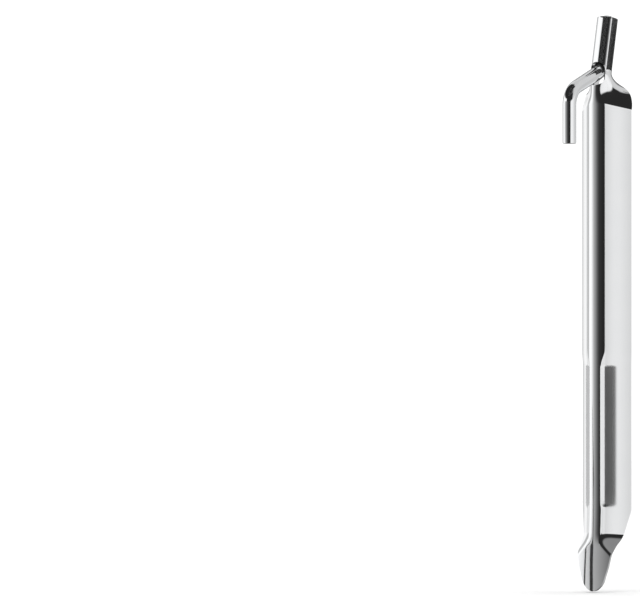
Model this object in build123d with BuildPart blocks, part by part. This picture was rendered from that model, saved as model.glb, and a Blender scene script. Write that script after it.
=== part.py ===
from build123d import *
import os
from math import cos, degrees, radians, sin, tan

os.makedirs("parts", exist_ok=True)

# Driving dimensions, in millimetres and degrees. +Z runs up the stake from its point,
# the ridge and the hook face -Y, and X = 0 is the plane of symmetry.

overall_length = 250.0  # from the point to the crown of the bar's end
sheet = 1.5  # thickness of the pressed blade
bar_diameter = 6.0  # round bar that the hook is bent from
neck_clearance = 0.05  # radial gap between the bar and the neck rolled round it

blade_half_width = 13.0  # half the width across the front corners of the flanges
ridge_radius = 6.5  # outside radius of the ridge
flange_angle = 45.0  # each flange leans back this far from the front

shoulder_height = 16.0  # from full width up to the foot of the neck
shoulder_round = 9.5  # height over which the flanges narrow to the width that is rolled
shoulder_setback = 1.1  # how far the ridge line has moved back at the foot of the neck
shoulder_steps = 8  # sections that shape the shoulder
neck_length = 24.0  # rolled neck, from its foot to its rim
neck_lean = 12.0  # the neck leans back this far
neck_gap = 2.5  # gap between the rolled edges at the back, along the middle of the sheet

bar_proud = 1.3  # the bar's end stands out of the neck by this much
bar_dome = 2.0  # rounding of that end
root_height = 1.0  # the arm's line meets the axis of the neck this far above the neck's foot
arm_reach = 25.5  # from the ridge's centre line forward to the axis of the leg
arm_slope = 21.5  # the arm falls this far below the horizontal
root_bend_radius = 5.5  # centre line radius where the bar leaves the neck
hook_bend_radius = 8.5  # centre line radius where the arm turns into the leg
leg_length = 22.5  # from the corner of arm and leg down to the leg's end
leg_chamfer = 0.5
hole_side_clearance = 0.85  # oval hole past each side of the bar
hole_end_clearance = 1.2  # oval hole past the bar above and below
hole_depth = 1.0  # the punch stops this far in front of the ridge's centre line

taper_height = 36.0  # from the point up to full width
taper_waist = (7.5, 10.7)  # half width and height where the taper steepens
taper_waist_radius = 25.0
nose_flat_half_width = 3.9  # half width of the nose before it is rounded
nose_radius = 5.0
spoon_top = 27.0  # the V starts to flatten here
spoon_bottom = 13.0  # and is a shallow gouge from here down
spoon_angle = 12.0  # lean of the gouge's sides
spoon_ridge_radius = 12.0
spoon_kick = 1.6  # the gouge stands this far in front of the ridge

groove_bottom = 35.0
groove_top = 99.5
groove_run_out = 3.5  # length of each sloping end
groove_start_angle = 25.0  # where the groove begins, round the ridge from its crown
groove_depth = 0.7  # square to the flange
groove_crease_offset = 0.3  # from the flange's inner end back to the crease
groove_reach = 5.5  # how far the groove runs on to the flange

# Values that follow from the ones above.

bar_radius = bar_diameter / 2
bore_radius = bar_radius + neck_clearance
neck_radius = bore_radius + sheet
lean = radians(neck_lean)
neck_foot = overall_length - (neck_length + bar_proud) * cos(lean)
full_width_top = neck_foot - shoulder_height
flange_length = (blade_half_width - ridge_radius * sin(radians(flange_angle))) / cos(radians(flange_angle))
neck_gap_angle = degrees(neck_gap / (bore_radius + sheet / 2)) / 2
rolled_turn = 180 - flange_angle - neck_gap_angle
rolled_length = radians(rolled_turn) * neck_radius


def level(height, setback=0.0, tilt=0.0):
    """Plane across the blade, with its own +Y to the back, tilted with the neck."""
    normal = (0, sin(radians(tilt)), cos(radians(tilt)))
    return Plane(origin=(0, setback, height), x_dir=(1, 0, 0), z_dir=normal)


def gutter(plane, radius, side_length, side_turn=0.0, front_angle=flange_angle):
    """Cross-section of the sheet: a front arc about the plane's origin and two sides that may curl in.

    The outline keeps its eight edges even where a side continues the front arc, so that any two can be lofted.
    """
    outline = []
    for depth in (0, sheet):
        front = CenterArc((0, 0), radius - depth, -90 - front_angle, 2 * front_angle)
        if side_turn:
            side = JernArc(front @ 1, front % 1, side_length / radians(side_turn) - depth, side_turn)
        else:
            side = Line(front @ 1, front @ 1 + front % 1 * side_length)
        outline += [front, side, side.mirror(Plane.YZ)]
    edge = Line(outline[1] @ 1, outline[4] @ 1)
    outline += [edge, edge.mirror(Plane.YZ)]
    return plane * Face(Wire(outline))


def shoulder_section(rise):
    """Section of the shoulder at a share of its height: narrowed first, then rolled."""
    height = rise * shoulder_height
    if height < shoulder_round:
        narrowed = 1 - (1 - (height / shoulder_round) ** 2) ** 0.5
    else:
        narrowed = 1
    length = flange_length + (rolled_length - flange_length) * narrowed
    turn = rolled_turn * rise ** 4
    radius = ridge_radius + (neck_radius - ridge_radius) * rise ** 2
    setback = shoulder_setback * rise ** 3 + radius - ridge_radius
    return gutter(level(full_width_top + height, setback, neck_lean * rise ** 2), radius, length, turn)


# The bar's line, which the hole in the neck is placed by.

foot_plane = level(neck_foot, shoulder_setback + neck_radius - ridge_radius, neck_lean)
arm_root = foot_plane.origin + foot_plane.z_dir * root_height
arm_drop = (arm_root.Y + arm_reach) * tan(radians(arm_slope))
arm_corner = Vector(0, -arm_reach, arm_root.Z - arm_drop)
leg_end = arm_corner - Vector(0, 0, leg_length)
bar_top = foot_plane.origin + foot_plane.z_dir * (neck_length + bar_proud)
root_turn = radians(90 - arm_slope - neck_lean)
bend_start = arm_root.Z + root_bend_radius * tan(root_turn / 2) * cos(lean) + bar_radius * sin(lean)
arm_underside = arm_root.Z - neck_radius * tan(radians(arm_slope)) - bar_radius / cos(radians(arm_slope))
hole_top = bend_start + hole_end_clearance
hole_foot = arm_underside - hole_end_clearance

# The grooves' corners, on the right flange: where one starts on the ridge, its crease, where it ends.

flange_line = Vector(cos(radians(flange_angle)), sin(radians(flange_angle)))
inward = Vector(-flange_line.Y, flange_line.X)
flange_start = inward * -ridge_radius
groove_from = Vector(sin(radians(groove_start_angle)), -cos(radians(groove_start_angle)))
groove_crease = flange_start - flange_line * groove_crease_offset + inward * groove_depth
groove_to = flange_start + flange_line * groove_reach
groove_outside = [
    groove_from * ridge_radius,
    groove_crease,
    groove_to,
    groove_to - inward * groove_depth,
    groove_from * (ridge_radius + groove_depth),
]
groove_inside = [
    groove_from * ridge_radius,
    groove_from * (ridge_radius - sheet),
    groove_crease + inward * sheet,
    groove_to + inward * sheet,
    groove_to,
]


def groove(corners):
    """Bar of the given section along the groove, sloping out of the sheet at both ends."""
    sections = []
    for height, lift in (
        (groove_bottom, groove_depth),
        (groove_bottom + groove_run_out, 0),
        (groove_top - groove_run_out, 0),
        (groove_top, groove_depth),
    ):
        lifted = [corner - inward * lift for corner in corners]
        sections.append(level(height) * Face(Wire.make_polygon(lifted)))
    return Solid.make_loft([section.outer_wire() for section in sections], ruled=True)


# Blade: one blank of sheet steel, pressed to a V, spooned at the point and rolled at the neck.

with BuildPart() as blade:
    v_section = gutter(level(spoon_top), ridge_radius, flange_length)
    gouge_setback = spoon_ridge_radius - ridge_radius - spoon_kick
    gouge_top = gutter(level(spoon_bottom, gouge_setback), spoon_ridge_radius, flange_length, 0, spoon_angle)
    gouge_end = gutter(level(0, gouge_setback), spoon_ridge_radius, flange_length, 0, spoon_angle)
    loft([gouge_end, gouge_top])
    loft([gouge_top, v_section])
    extrude(v_section, amount=taper_height - spoon_top)

    with BuildSketch(Plane.XZ):
        with BuildLine():
            Polyline(
                (-nose_flat_half_width, 0),
                (nose_flat_half_width, 0),
                taper_waist,
                (blade_half_width, taper_height),
                (-blade_half_width, taper_height),
                (-taper_waist[0], taper_waist[1]),
                close=True,
            )
        outline = make_face()
        fillet(outline.vertices().group_by(Axis.Y)[0], nose_radius)
        fillet(outline.vertices().group_by(Axis.Y)[-2], taper_waist_radius)
    extrude(amount=2 * blade_half_width, both=True, mode=Mode.INTERSECT)

    extrude(gutter(level(taper_height), ridge_radius, flange_length), amount=full_width_top - taper_height)
    rim = gutter(foot_plane.offset(neck_length), neck_radius, rolled_length, rolled_turn)
    loft([shoulder_section(step / shoulder_steps) for step in range(shoulder_steps + 1)] + [rim], ruled=True)

    with BuildSketch(Plane.XZ.offset(hole_depth)):
        with Locations((0, (hole_top + hole_foot) / 2)):
            SlotOverall(hole_top - hole_foot, bar_diameter + 2 * hole_side_clearance, rotation=90)
    extrude(amount=blade_half_width, mode=Mode.SUBTRACT)

    add(groove(groove_inside))
    add(groove(groove_inside).mirror(Plane.YZ))
    add(groove(groove_outside), mode=Mode.SUBTRACT)
    add(groove(groove_outside).mirror(Plane.YZ), mode=Mode.SUBTRACT)

blade.part.label = "blade"
export_step(blade.part, "parts/blade.step")

# Hook: a round bar that stands in the neck, leaves it through the hole and turns down as the leg.

with BuildPart() as hook:
    with BuildLine() as bar_line:
        FilletPolyline(
            bar_top,
            arm_root,
            arm_corner,
            leg_end,
            radius=[root_bend_radius, hook_bend_radius],
        )
    with BuildSketch(Plane(origin=bar_line.line @ 0, z_dir=bar_line.line % 0)):
        Circle(bar_radius)
    sweep()
    ends = hook.edges().filter_by(GeomType.CIRCLE).sort_by(Axis.Z)
    fillet(ends[-1], bar_dome)
    chamfer(ends[0], leg_chamfer)

hook.part.label = "hook"
export_step(hook.part, "parts/hook.step")
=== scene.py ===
from math import cos, pi, radians, sin, sqrt, tan

import bmesh
import bpy
from mathutils import Matrix, Vector


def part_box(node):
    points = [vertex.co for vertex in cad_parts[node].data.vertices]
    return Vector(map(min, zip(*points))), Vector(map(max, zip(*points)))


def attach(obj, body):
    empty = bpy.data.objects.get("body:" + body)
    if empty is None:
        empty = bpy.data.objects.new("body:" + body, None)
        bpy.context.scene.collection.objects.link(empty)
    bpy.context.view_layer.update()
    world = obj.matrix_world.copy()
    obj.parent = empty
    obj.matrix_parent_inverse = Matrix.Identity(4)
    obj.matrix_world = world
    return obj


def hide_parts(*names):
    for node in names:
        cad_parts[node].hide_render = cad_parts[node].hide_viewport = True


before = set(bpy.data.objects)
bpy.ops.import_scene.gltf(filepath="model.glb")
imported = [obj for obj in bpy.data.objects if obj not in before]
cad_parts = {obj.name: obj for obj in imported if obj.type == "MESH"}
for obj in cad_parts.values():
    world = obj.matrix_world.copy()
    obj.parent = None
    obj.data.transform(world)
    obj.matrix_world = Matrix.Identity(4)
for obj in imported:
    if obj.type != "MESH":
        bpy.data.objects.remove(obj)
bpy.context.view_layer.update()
bpy.ops.object.select_all(action="DESELECT")

# Blade.
# The real piece is one blank of 1.5 mm sheet steel: cut to outline with an oval hole, its cut edges rounded
# off, pressed to a V with a groove on each side of the ridge, spooned at the point and rolled at the neck,
# and bright plated. It is made here in the same order: a flat blank first, then the press.

MM = 0.001
sheet = 1.5
ridge_radius = 6.5
flange_angle = 45.0
half_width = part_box("blade")[1].x / MM
overall_length = 250.0
bar_radius = 3.0
bore_radius = 3.05
neck_lean = radians(12.0)
neck_length = 24.0
bar_proud = 1.3
shoulder_height = 16.0
shoulder_round = 12.5
shoulder_power = 1.7
shoulder_setback = 1.1
shoulder_trim = 0.1
neck_gap = 2.5
neck_foot = overall_length - (neck_length + bar_proud) * cos(neck_lean)
full_width_top = neck_foot - shoulder_height

middle_ridge = ridge_radius - sheet / 2
middle_neck = bore_radius + sheet / 2
flange_length = (half_width - ridge_radius * sin(radians(flange_angle))) / cos(radians(flange_angle))
full_reach = middle_ridge * radians(flange_angle) + flange_length - shoulder_trim
rolled_reach = middle_neck * pi - neck_gap / 2

nose_height = 4.6
# Half the stake's width at heights up from the point: nose, spoon, end of the taper, full width.
outline = ((0.0, 4.0), (10.7, 7.5), (36.0, half_width), (full_width_top, half_width))

spoon_ridge = 40.0 - sheet / 2
spoon_angle = radians(12.0)
spoon_kick = 1.1
spoon_kick_span = (6.0, 40.0)
spoon_inner = 3.5
spoon_middle = 22.6
spoon_lean = 0.5
spoon_run = 3.2
spoon_spread = 0.45

# The groove has a crease beside the ridge, a floor that slopes up from it and a side that fades out. The
# ridge above the groove is wider than beside it, and eases in between.
groove_bottom = 36.6
groove_top = 98.4
groove_foot_ends = (0.6, 2.4)
groove_top_end = 1.4
groove_crease = 4.28
groove_depth = 0.504
groove_slope = 0.114
groove_floor_end = 7.0
groove_fade = 3.4
narrowing = 2.0
narrowing_edge = 0.5
narrowing_span = (98.0, 106.0)
bend = middle_ridge * radians(flange_angle)

# The flanges bow a little, and the shoulder breaks back over a fold that climbs towards the ridge.
roll_start = 215.8
bow_near, bow_near_run = 0.0025, 4.0
bow_far, bow_far_start = 0.0021, 6.0
fold_foot = 211.3
fold_slope = 0.22
fold_lean = 0.39
fold_round = 0.8
fold_fade = (213.5, 224.5)
fold_sides = (0.3, 4.5)


def smooth(low, high, value):
    share = min(max((value - low) / (high - low), 0.0), 1.0)
    return share * share * (3 - 2 * share)


def arc_and_flange(place, radius, angle, curl):
    """Across, back and turn of a place on a section: an arc, then a flange that may curl on."""
    if place <= radius * angle:
        turn = place / radius
        return radius * sin(turn), -radius * cos(turn), turn
    run = place - radius * angle
    turn = angle + curl * run
    x, y = radius * sin(angle), -radius * cos(angle)
    if curl > 1e-6:
        return x + (sin(turn) - sin(angle)) / curl, y + (cos(angle) - cos(turn)) / curl, turn
    return x + run * cos(angle), y + run * sin(angle), turn


def groove_at(place, height):
    """How far the sheet is pushed in beside the ridge, by the groove and the narrower ridge below it."""
    narrow = 1 - smooth(*narrowing_span, height)
    start = bend - narrowing * narrow
    if place <= start:
        return 0.0
    push = ((bend - start) ** 2 - (bend - min(place, bend)) ** 2) / 2 / middle_ridge
    push *= smooth(start, start + narrowing_edge, place)
    share = smooth(groove_bottom - groove_foot_ends[0], groove_bottom + groove_foot_ends[1], height)
    share *= 1 - smooth(groove_top - groove_top_end, groove_top, height)
    if share == 0:
        return push
    if place < groove_crease:
        depth = groove_depth * max(place - bend + narrowing, 0) / (groove_crease - bend + narrowing)
    else:
        past = min(max((place - groove_floor_end) / groove_fade, 0.0), 1.0)
        run = min(place, groove_floor_end) - groove_crease + groove_fade * (past - past ** 3 + past ** 4 / 2)
        depth = max(groove_depth - groove_slope * run, 0.0)
    return push + share * depth


def press(across, depth, height):
    """Where a point of the flat blank ends up once the sheet is formed, in millimetres."""
    side = 1 if across >= 0 else -1
    place = abs(across)
    rise = min(max((height - full_width_top) / shoulder_height, 0.0), 1.0)
    radius = middle_ridge + (middle_neck - middle_ridge) * rise ** 2
    angle = radians(flange_angle)
    curl = (pi - neck_gap / 2 / middle_neck - angle) / (rolled_reach - middle_neck * angle)
    curl *= smooth(roll_start, neck_foot, height)
    x, y, turn = arc_and_flange(place, radius, angle, curl)
    run = max(place - bend, 0.0)
    bow = bow_near * (min(run - bow_near_run, 0.0) ** 2 - bow_near_run ** 2)
    bow -= bow_far * max(run - bow_far_start, 0.0) ** 2
    push = depth + groove_at(place, height) + bow * (1 - rise) * (place > bend)
    x -= sin(turn) * push
    y += cos(turn) * push
    y += shoulder_setback * rise ** 3 + radius - middle_ridge
    folded = max(height - fold_foot + fold_slope * run, 0.0)
    fold = fold_lean * folded ** 2 / (folded + fold_round) * (1 - smooth(*fold_fade, height))
    y += fold * smooth(*fold_sides, place)
    kick = spoon_kick * (1 - smooth(*spoon_kick_span, height))
    y -= kick
    outward = max(place - spoon_inner, 0.0)
    start = spoon_middle - spoon_lean * outward
    half_run = spoon_run + spoon_spread * outward
    spooned = 1 - smooth(start - half_run, start + half_run, height)
    if spooned > 0:
        flat_x, flat_y, flat_turn = arc_and_flange(place, spoon_ridge, spoon_angle, 0.0)
        flat_x -= sin(flat_turn) * depth
        flat_y += cos(flat_turn) * depth + spoon_ridge - middle_ridge - kick
        x += (flat_x - x) * spooned
        y += (flat_y - y) * spooned
    lean = neck_lean * rise ** 2
    along = max(height - neck_foot, 0.0)
    base = min(height, neck_foot)
    return Vector((side * x, y * cos(lean) + along * sin(lean), base - y * sin(lean) + along * cos(lean)))


def reach_at(height):
    """Half the developed width of the blank: as far as the outline of the formed stake."""
    if height > full_width_top:
        narrowed = min((height - full_width_top) / shoulder_round, 1.0)
        return rolled_reach + (full_reach - rolled_reach) * (1 - narrowed ** shoulder_power)
    for (start, narrow), (end, wide) in zip(outline, outline[1:]):
        if height <= end:
            width = narrow + (wide - narrow) * (height - start) / (end - start)
            break
    width *= sqrt(1 - max(1 - height / nose_height, 0.0) ** 2)
    low, high = 0.0, full_reach
    for halving in range(24):
        middle = (low + high) / 2
        if press(middle, -sheet / 2, height).x < width:
            low = middle
        else:
            high = middle
    return low


# The blank: a flat grid whose columns run along the stake and whose rows close up where the shape is busy.
columns = 96
nose_rows = 12
point_height = 0.004
row_heights = [nose_height * (1 - cos(pi / 2 * step / nose_rows)) for step in range(nose_rows)]
row_heights[0] = point_height
for low, high, count in (
    (nose_height, 30.0, 90),
    (30.0, groove_bottom, 12),
    (groove_bottom, 38.0, 8),
    (38.0, 97.0, 24),
    (97.0, groove_top, 8),
    (groove_top, narrowing_span[1], 14),
    (narrowing_span[1], 205.0, 16),
    (205.0, 232.0, 90),
    (232.0, neck_foot + neck_length, 22),
):
    row_heights += [low + (high - low) * step / count for step in range(count)]
row_heights.append(neck_foot + neck_length)

reaches = [reach_at(height) for height in row_heights]

bpy.ops.mesh.primitive_grid_add(x_subdivisions=columns, y_subdivisions=len(row_heights) - 1, size=1.0)
blade = bpy.context.object
blade.name = "blade_plated"
blade_mesh = bmesh.new()
blade_mesh.from_mesh(blade.data)
for vertex in blade_mesh.verts:
    row = round((vertex.co.y + 0.5) * (len(row_heights) - 1))
    vertex.co = (vertex.co.x * 2 * reaches[row], 0.0, row_heights[row])

# The hole is punched in the flat blank: faces inside the oval go, and its rim is drawn out to the true oval.
hole_half_width = 3.85
hole_foot = 219.2
hole_top = 228.8
rim_margin = 0.6
hole_middle = (hole_foot + hole_top) / 2
hole_straight = (hole_top - hole_foot) / 2 - hole_half_width


def from_oval(point):
    """Distance outside the oval, and the nearest place on it."""
    along = min(max(point.z - hole_middle, -hole_straight), hole_straight)
    core = Vector((0, 0, hole_middle + along))
    away = point - core
    return away.length - hole_half_width, core + away.normalized() * hole_half_width


punched = [face for face in blade_mesh.faces if from_oval(face.calc_center_median())[0] < 0]
bmesh.ops.delete(blade_mesh, geom=punched, context="FACES")
rim = {
    vertex
    for edge in blade_mesh.edges
    if edge.is_boundary
    for vertex in edge.verts
    if from_oval(vertex.co)[0] < rim_margin
}
for vertex in rim:
    vertex.co = from_oval(vertex.co)[1]
blade_mesh.normal_update()
blade_mesh.to_mesh(blade.data)
blade_mesh.free()

# The blank gets its thickness and rounded cut edges while flat, still in millimetres, and is then formed.
edge_round = 0.45
sharp_angle = radians(35)

wall = blade.modifiers.new("wall", "SOLIDIFY")
wall.thickness = sheet
wall.offset = 0.0
bpy.ops.object.modifier_apply(modifier=wall.name)
rounding = blade.modifiers.new("rounding", "BEVEL")
rounding.width = edge_round
rounding.segments = 4
rounding.limit_method = "ANGLE"
rounding.angle_limit = radians(50)
bpy.ops.object.modifier_apply(modifier=rounding.name)

for vertex in blade.data.vertices:
    vertex.co = press(*vertex.co) * MM
bpy.ops.object.shade_smooth_by_angle(angle=sharp_angle)
bpy.ops.object.mode_set(mode="EDIT")
bpy.ops.mesh.select_all(action="SELECT")
bpy.ops.mesh.normals_make_consistent(inside=False)
bpy.ops.object.mode_set(mode="OBJECT")
blade.select_set(False)


class Socket:
    """A shader value that can be used in a sum: each operator adds its own Math node."""

    def __init__(self, tree, output):
        self.tree = tree
        self.output = output

    def node(self, kind, settings=None, inputs=None, out=0):
        made = self.tree.nodes.new(kind)
        for name, value in (settings or {}).items():
            setattr(made, name, value)
        for name, value in (inputs or {}).items():
            if isinstance(value, Socket):
                self.tree.links.new(value.output, made.inputs[name])
            else:
                made.inputs[name].default_value = value
        return Socket(self.tree, made.outputs[out])

    def maths(self, operation, first, second=0.0):
        return self.node("ShaderNodeMath", {"operation": operation}, {0: first, 1: second})

    def __add__(self, other):
        return self.maths("ADD", self, other)

    __radd__ = __add__

    def __sub__(self, other):
        return self.maths("SUBTRACT", self, other)

    def __rsub__(self, other):
        return self.maths("SUBTRACT", other, self)

    def __mul__(self, other):
        return self.maths("MULTIPLY", self, other)

    __rmul__ = __mul__

    def __truediv__(self, other):
        return self.maths("DIVIDE", self, other)

    def between(self, low, high):
        """0 below low, 1 above high, smooth in between."""
        limits = {"Value": self, "From Min": low, "From Max": high}
        return self.node("ShaderNodeMapRange", {"interpolation_type": "SMOOTHSTEP"}, limits)

    def part(self, index):
        """One of the three numbers of a vector: 0 across, 1 back, 2 up."""
        return self.node("ShaderNodeSeparateXYZ", None, {"Vector": self}, out=index)

    def mix(self, low, high):
        """Colour low where this is 0 and high where it is 1."""
        return self.node("ShaderNodeMix", {"data_type": "RGBA"}, {0: self, 6: low, 7: high}, out=2)


def start_material(name):
    made = bpy.data.materials.new(name)
    made.use_nodes = True
    tree = made.node_tree
    shader = tree.nodes["Principled BSDF"]
    shader.inputs["Metallic"].default_value = 1.0
    place = Socket(tree, tree.nodes.new("ShaderNodeTexCoord").outputs["Object"])
    return made, shader, place


def feed(shader, name, value):
    value.tree.links.new(value.output, shader.inputs[name])


# Bright plating over faint drawing lines that run up the sheet, rougher where the groove was stamped, and
# with painted shade: the colour is darkened inside the neck's foot, in place of the shadow in the rolled
# bore.
plating_dull = (0.84, 0.85, 0.86, 1)
plating_bright = (0.9, 0.905, 0.91, 1)
drawing_lines = (2600.0, 2600.0, 40.0)
stamped_sides = (2.6 * MM, 3.1 * MM, 6.2 * MM, 8.8 * MM)
stamped_ends = (36.0 * MM, 38.0 * MM, 97.2 * MM, 98.6 * MM)
neck_foot_back = shoulder_setback + middle_neck - middle_ridge

plated_sheet, shader, place = start_material("plated_sheet")
drawn = place.node("ShaderNodeMapping", None, {"Vector": place, "Scale": drawing_lines})
lines = place.node("ShaderNodeTexNoise", None, {"Vector": drawn, "Scale": 1.0, "Detail": 3.0})
haze = place.node("ShaderNodeTexNoise", None, {"Vector": place, "Scale": 90.0, "Detail": 4.0})
off_ridge = place.maths("ABSOLUTE", place.part(0))
up = place.part(2)
stamped = off_ridge.between(*stamped_sides[:2]) * (1 - off_ridge.between(*stamped_sides[2:]))
stamped = stamped * up.between(*stamped_ends[:2]) * (1 - up.between(*stamped_ends[2:]))
feed(shader, "Roughness", 0.035 + 0.03 * lines + 0.03 * haze + stamped * 0.24)
from_axis = place.part(1) - neck_foot_back * MM - (up - neck_foot * MM) * tan(neck_lean)
off_axis = place.maths("SQRT", off_ridge * off_ridge + from_axis * from_axis)
# Painted shade: inside the rolled neck, within about 3.5 mm of its axis and from 219 mm up, the colour is
# made near black.
painted_bore_shade = (1 - off_axis.between(3.3 * MM, 3.7 * MM)) * up.between(218.0 * MM, 220.0 * MM)
feed(shader, "Base Color", painted_bore_shade.mix(haze.mix(plating_dull, plating_bright), (0.12, 0.12, 0.12, 1)))
blade.data.materials.clear()
blade.data.materials.append(plated_sheet)
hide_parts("blade")
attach(blade, "root")

# Hook.
# The real piece is a length of 6 mm round bar, its top end domed: it stands in the rolled neck, comes out
# of the oval hole over a tight bend, runs down as the arm and turns again into the leg, with a chamfered end.

arm_slope = radians(21.5)
root_bend = 5.5
hook_bend = 8.5
leg_length = 22.5
root_height = 1.0
bar_dome = 2.0
leg_chamfer = 0.5
doubles_gap = 0.00001
axis_up = Vector((0, sin(neck_lean), cos(neck_lean)))
foot_point = Vector((0, neck_foot_back, neck_foot))
bar_top = foot_point + axis_up * (neck_length + bar_proud)
arm_root = foot_point + axis_up * root_height
arm_reach = -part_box("hook")[0].y / MM - bar_radius
arm_corner = Vector((0, -arm_reach, arm_root.z - (arm_root.y + arm_reach) * tan(arm_slope)))
root_turn = pi / 2 - arm_slope - neck_lean
hook_turn = pi / 2 - arm_slope
root_tangent = root_bend * tan(root_turn / 2)
hook_tangent = hook_bend * tan(hook_turn / 2)
arm_way = (arm_corner - arm_root).normalized()

bpy.ops.mesh.primitive_circle_add(
    vertices=64, radius=bar_radius * MM, fill_type="NGON", location=bar_top * MM, rotation=(-neck_lean, 0, 0)
)
hook = bpy.context.object
hook.name = "hook_plated"
bpy.ops.object.transform_apply(location=True, rotation=True, scale=True)
bpy.ops.object.mode_set(mode="EDIT")
bpy.ops.mesh.select_mode(type="FACE")
bpy.ops.mesh.select_all(action="SELECT")
bend_start = arm_root + axis_up * root_tangent
bar_middle = (bar_top.z + bend_start.z) / 2 * MM
bpy.ops.mesh.extrude_region_move(TRANSFORM_OT_translate={"value": (bend_start - bar_top) * MM})
bpy.ops.mesh.select_all(action="DESELECT")
bpy.ops.object.mode_set(mode="OBJECT")
for face in hook.data.polygons:
    face.select = len(face.vertices) > 4 and face.center.z > bar_middle
bpy.ops.object.mode_set(mode="EDIT")
bpy.ops.mesh.bevel(offset=bar_dome * MM, segments=10, affect="EDGES")
bpy.ops.mesh.select_all(action="DESELECT")
bpy.ops.object.mode_set(mode="OBJECT")
for face in hook.data.polygons:
    face.select = len(face.vertices) > 4 and face.center.z < bar_middle
bpy.ops.object.mode_set(mode="EDIT")
bend_centre = bend_start + Vector((0, -cos(neck_lean), sin(neck_lean))) * root_bend
bpy.ops.mesh.spin(
    steps=28, angle=root_turn, center=bend_centre * MM, axis=(1, 0, 0), use_auto_merge=False
)
arm_end = arm_corner - arm_way * hook_tangent
arm_start = arm_root + arm_way * root_tangent
bpy.ops.mesh.extrude_region_move(TRANSFORM_OT_translate={"value": (arm_end - arm_start) * MM})
leg_top = arm_corner - Vector((0, 0, hook_tangent))
bpy.ops.mesh.spin(
    steps=36, angle=hook_turn, center=(leg_top + Vector((0, hook_bend, 0))) * MM, axis=(-1, 0, 0),
    use_auto_merge=False,
)
bpy.ops.mesh.extrude_region_move(TRANSFORM_OT_translate={"value": (0, 0, (hook_tangent - leg_length) * MM)})
bpy.ops.mesh.bevel(offset=leg_chamfer * MM, segments=2, affect="EDGES")
bpy.ops.mesh.select_all(action="SELECT")
bpy.ops.mesh.remove_doubles(threshold=doubles_gap)
bpy.ops.mesh.normals_make_consistent(inside=False)
bpy.ops.object.mode_set(mode="OBJECT")
bpy.ops.object.shade_smooth_by_angle(angle=sharp_angle)
hook.select_set(False)

# The same plating, duller on the short stretch that stands in the neck's foot, and darkened there with
# painted shade for the shadow inside the neck.
root_back = (-5.0 * MM, -3.6 * MM)
root_ends = (224.0 * MM, 226.2 * MM, 240.0 * MM, 246.0 * MM)

plated_bar, shader, place = start_material("plated_bar")
haze = place.node("ShaderNodeTexNoise", None, {"Vector": place, "Scale": 120.0, "Detail": 4.0})
up = place.part(2)
# Painted shade: where the bar stands in the neck's foot, its colour is made near black; the same mask also
# makes it rougher.
inside = place.part(1).between(*root_back) * up.between(*root_ends[:2]) * (1 - up.between(*root_ends[2:]))
feed(shader, "Roughness", 0.04 + 0.04 * haze + inside * 0.25)
feed(shader, "Base Color", inside.mix(haze.mix(plating_dull, plating_bright), (0.05, 0.05, 0.05, 1)))
hook.data.materials.append(plated_bar)
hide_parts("hook")
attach(hook, "root")
hook.visible_glossy = False

# Studio.
# A pale round table top under one wide soft light, surroundings graded from white to black because bright
# metal only looks like metal when it has both to mirror, small dark cards and posts, and a long lens.

camera_azimuth = radians(33.7)
to_camera = Vector((sin(camera_azimuth), -cos(camera_azimuth), 0))
to_right = Vector((cos(camera_azimuth), sin(camera_azimuth), 0))
camera_distance = 3.0
picture_width = 0.2785
stake_from_centre = 0.1228
middle_height = 0.1247

lens = bpy.data.cameras.new("camera")
camera = bpy.data.objects.new("camera", lens)
bpy.context.collection.objects.link(camera)
lens.sensor_width = 36.0
lens.lens = lens.sensor_width * camera_distance / picture_width
lens.clip_end = 50.0
camera.location = to_camera * camera_distance + Vector((0, 0, middle_height))
aim = Vector((0, 0, middle_height)) - to_right * stake_from_centre - camera.location
camera.rotation_euler = aim.to_track_quat("-Z", "Y").to_euler()
bpy.context.scene.camera = camera


def matte(name, roughness, low, high):
    """A dull paint whose grey wanders between low and high."""
    made, shader, place = start_material(name)
    shader.inputs["Metallic"].default_value = 0.0
    shader.inputs["Roughness"].default_value = roughness
    grain = place.node("ShaderNodeTexNoise", None, {"Vector": place, "Scale": 6.0, "Detail": 2.0})
    feed(shader, "Base Color", grain.mix((low, low, low, 1), (high, high, high, 1)))
    return made


table_radius = 2.5
table_drop = 0.0005
bpy.ops.mesh.primitive_circle_add(
    vertices=96, radius=table_radius, fill_type="NGON", location=(0, 0, -table_drop)
)
table = bpy.context.object
table.name = "table_top"
table.data.materials.append(matte("pale_top", 0.6, 0.92, 0.94))
table.visible_glossy = False

overhead = bpy.data.lights.new("overhead", "SUN")
overhead.energy = 3.0
overhead.angle = radians(70)
overhead_lamp = bpy.data.objects.new("overhead", overhead)
bpy.context.collection.objects.link(overhead_lamp)
overhead_lamp.visible_glossy = False

# A dark card stands close beside the neck, in line with it, and a black one above the hook's bend.
dark = matte("dark_card", 0.9, 0.1, 0.14)
black = matte("black_card", 0.9, 0.02, 0.035)


def stage_unseen(made, paint, shadow):
    """Paint a thing of the studio that only the metal sees."""
    made.data.materials.append(paint)
    made.visible_camera = False
    made.visible_diffuse = False
    made.visible_shadow = shadow


flag_front = Vector((8.5, -2.5, 0))
flag_back = Vector((2.8, 8.8, 0))
flag_height = 29.0
flag_middle_height = 15.5
flag_side = flag_back - flag_front
flag_side = (flag_side - axis_up * flag_side.dot(axis_up)).normalized()
flag_turn = Matrix((flag_side, axis_up, flag_side.cross(axis_up))).transposed().to_euler()
flag_middle = foot_point + axis_up * flag_middle_height + (flag_front + flag_back) / 2
bpy.ops.mesh.primitive_plane_add(size=1.0, location=flag_middle * MM, rotation=flag_turn)
flag = bpy.context.object
flag.name = "neck_flag"
flag.scale = ((flag_back - flag_front).length * MM, flag_height * MM, 1.0)
stage_unseen(flag, dark, shadow=True)

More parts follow.
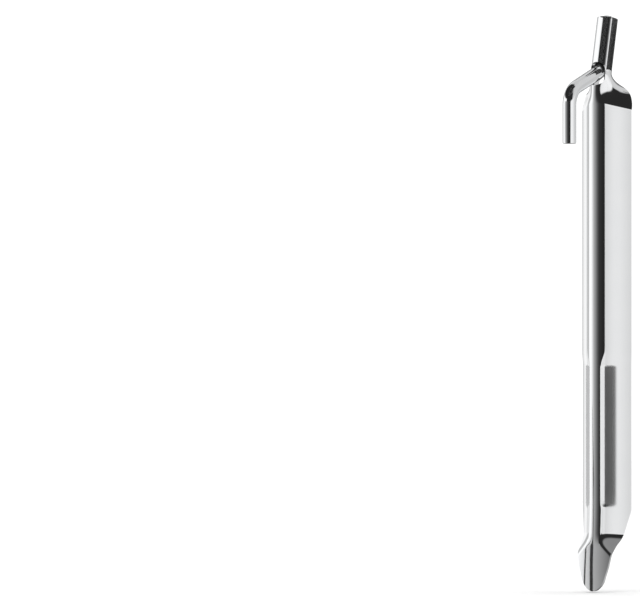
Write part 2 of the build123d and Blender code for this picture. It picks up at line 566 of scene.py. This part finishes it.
bend_flag_climb = radians(58)
bend_flag_gap = 0.06
hook_bend_middle = Vector((-0.004, -0.025, 0.215))
bend_flag_way = Vector((0, 0, 1)) * sin(bend_flag_climb) + to_camera * cos(bend_flag_climb)
bpy.ops.mesh.primitive_plane_add(
    size=0.05, location=hook_bend_middle + bend_flag_way * bend_flag_gap,
    rotation=bend_flag_way.to_track_quat("Z", "Y").to_euler(),
)
bend_flag = bpy.context.object
bend_flag.name = "bend_flag"
stage_unseen(bend_flag, black, shadow=False)

post_distance = 0.2


def post(name, foot_bearing, foot_height, head_bearing, head_height, foot_radius, head_radius):
    """A dark tapered post that leans, seen only as a line in the bright metal."""
    ends = []
    for bearing, height in ((foot_bearing, foot_height), (head_bearing, head_height)):
        end = (to_right * sin(radians(bearing)) + to_camera * cos(radians(bearing))) * post_distance
        end.z = height
        ends.append(end)
    foot, head = ends
    bpy.ops.mesh.primitive_cone_add(
        vertices=24, radius1=foot_radius, radius2=head_radius, depth=(head - foot).length,
        location=(foot + head) / 2, rotation=(head - foot).to_track_quat("Z", "Y").to_euler(),
    )
    made = bpy.context.object
    made.name = name
    stage_unseen(made, black, shadow=False)


post("inner_post", -68, -0.03, -68.5, 0.045, 0.0095, 0.0085)
post("inner_post_head", -68.5, 0.04, -82, 0.078, 0.0085, 0.002)
post("outer_post", -80, -0.02, -77, 0.05, 0.0048, 0.004)

# The surroundings: how light they are by bearing, in degrees to the right of the camera, at each height.
surroundings = bpy.data.worlds.new("surroundings")
bpy.context.scene.world = surroundings
surroundings.use_nodes = True
tree = surroundings.node_tree
way = Socket(tree, tree.nodes.new("ShaderNodeTexCoord").outputs["Generated"])
ray = Socket(tree, tree.nodes.new("ShaderNodeLightPath").outputs["Is Camera Ray"])
deep = (0.02, 0.02, 0.02, 1)
brightness = 1.15


def along(direction):
    return way.node("ShaderNodeVectorMath", {"operation": "DOT_PRODUCT"}, {0: way, 1: direction}, out=1)


def at(where):
    """A bearing in degrees as a share of the turn, with the camera's at a half."""
    return where / 360 + 0.5


def ramp(value, stops):
    made = tree.nodes.new("ShaderNodeValToRGB")
    scale = made.color_ramp.elements
    scale.remove(scale[1])
    for where, light in stops:
        stop = scale.new(at(where)) if where > -180 else scale[0]
        stop.color = (light, light, light, 1)
    tree.links.new(value.output, made.inputs["Fac"])
    return Socket(tree, made.outputs["Color"])


bearing = way.maths("ARCTAN2", along(to_right), along(to_camera)) / (2 * pi) + 0.5
climb = way.maths("ARCSINE", along(Vector((0, 0, 1)))) * (180 / pi)
level_light = ramp(bearing, (
    (-180, 0.04), (-172, 0.05), (-165, 0.85), (-157, 0.92), (-154.5, 0.42), (-128, 0.5), (-117, 1.0),
    (-95, 1.0), (-84, 0.8), (-74, 0.54), (-65, 0.37), (-56, 0.28), (-47, 0.19), (-39, 0.11), (-31, 0.063),
    (-23, 0.033), (-8, 0.026), (8, 0.018), (18, 0.02), (19.4, 0.62), (22.6, 0.79), (42, 0.9), (60, 0.82),
    (81, 0.7), (106, 0.54), (130, 0.54), (150, 0.2), (162, 0.04), (180, 0.04),
))
high_light = ramp(bearing, (
    (-180, 0.1), (-165, 0.5), (-128, 0.5), (-114, 1.0), (-54, 1.0), (-51, 0.02), (45, 0.02), (49, 0.55),
    (70, 0.6), (108, 0.6), (126, 0.4), (150, 0.12), (180, 0.1),
))
front_light = ramp(bearing, (
    (-180, 0.6), (-120, 0.9), (-54, 1.0), (-51, 0.02), (-32, 0.02), (-20, 0.26), (40, 0.22), (49, 0.55),
    (70, 0.6), (180, 0.6),
))
top_light = ramp(bearing, (
    (-180, 0.55), (-150, 0.55), (-140, 0.02), (-30, 0.02), (-22, 0.3), (40, 0.3), (46, 0.02), (62, 0.02),
    (72, 0.55), (180, 0.55),
))
light = level_light
for low, high, above in ((12.0, 18.0, high_light), (35.0, 44.0, front_light), (56.0, 60.0, top_light)):
    light = climb.between(low, high).mix(light, above)
corner_sides = bearing.between(at(-147.6), at(-140.4)) * (1 - bearing.between(at(-50.4), at(-46.8)))
light = (climb.between(22.0, 27.0) * corner_sides).mix(light, deep)
light = climb.between(80.0, 84.0).mix(light, deep)
light = ray.mix(light, (1, 1, 1, 1))
tree.links.new(light.output, tree.nodes["Background"].inputs["Color"])
tree.nodes["Background"].inputs["Strength"].default_value = brightness
bpy.context.scene.view_settings.view_transform = "Standard"
